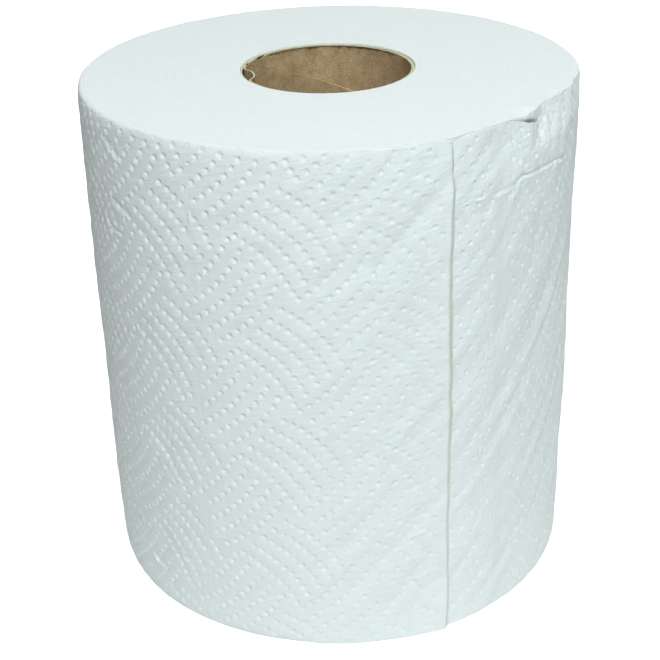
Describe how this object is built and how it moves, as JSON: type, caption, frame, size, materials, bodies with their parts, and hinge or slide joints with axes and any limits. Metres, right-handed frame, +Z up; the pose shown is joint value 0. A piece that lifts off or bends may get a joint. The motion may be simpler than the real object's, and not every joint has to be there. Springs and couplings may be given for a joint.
{
  "type": "paper towel roll",
  "caption": "Upright jumbo roll of white embossed two-ply paper towel with a loose tail edge, wound on a brown spiral cardboard core.",
  "frame": {"origin": "on the roll's axis, in the middle of its bottom end", "axes": "+Z up along the core; -Y towards the viewer of the picture; the tail edge is 25 degrees to the right of -Y"},
  "size_m": [0.1895, 0.1898, 0.2],
  "materials": {
    "towel_paper": "soft matt white tissue with pressed dots",
    "core_kraft": "matt brown kraft board with short fibres"
  },
  "bodies": {
    "root": {"towel_web": "towel_paper", "core_inner_ply": "core_kraft", "core_outer_ply": "core_kraft"}
  },
  "joints": []
}
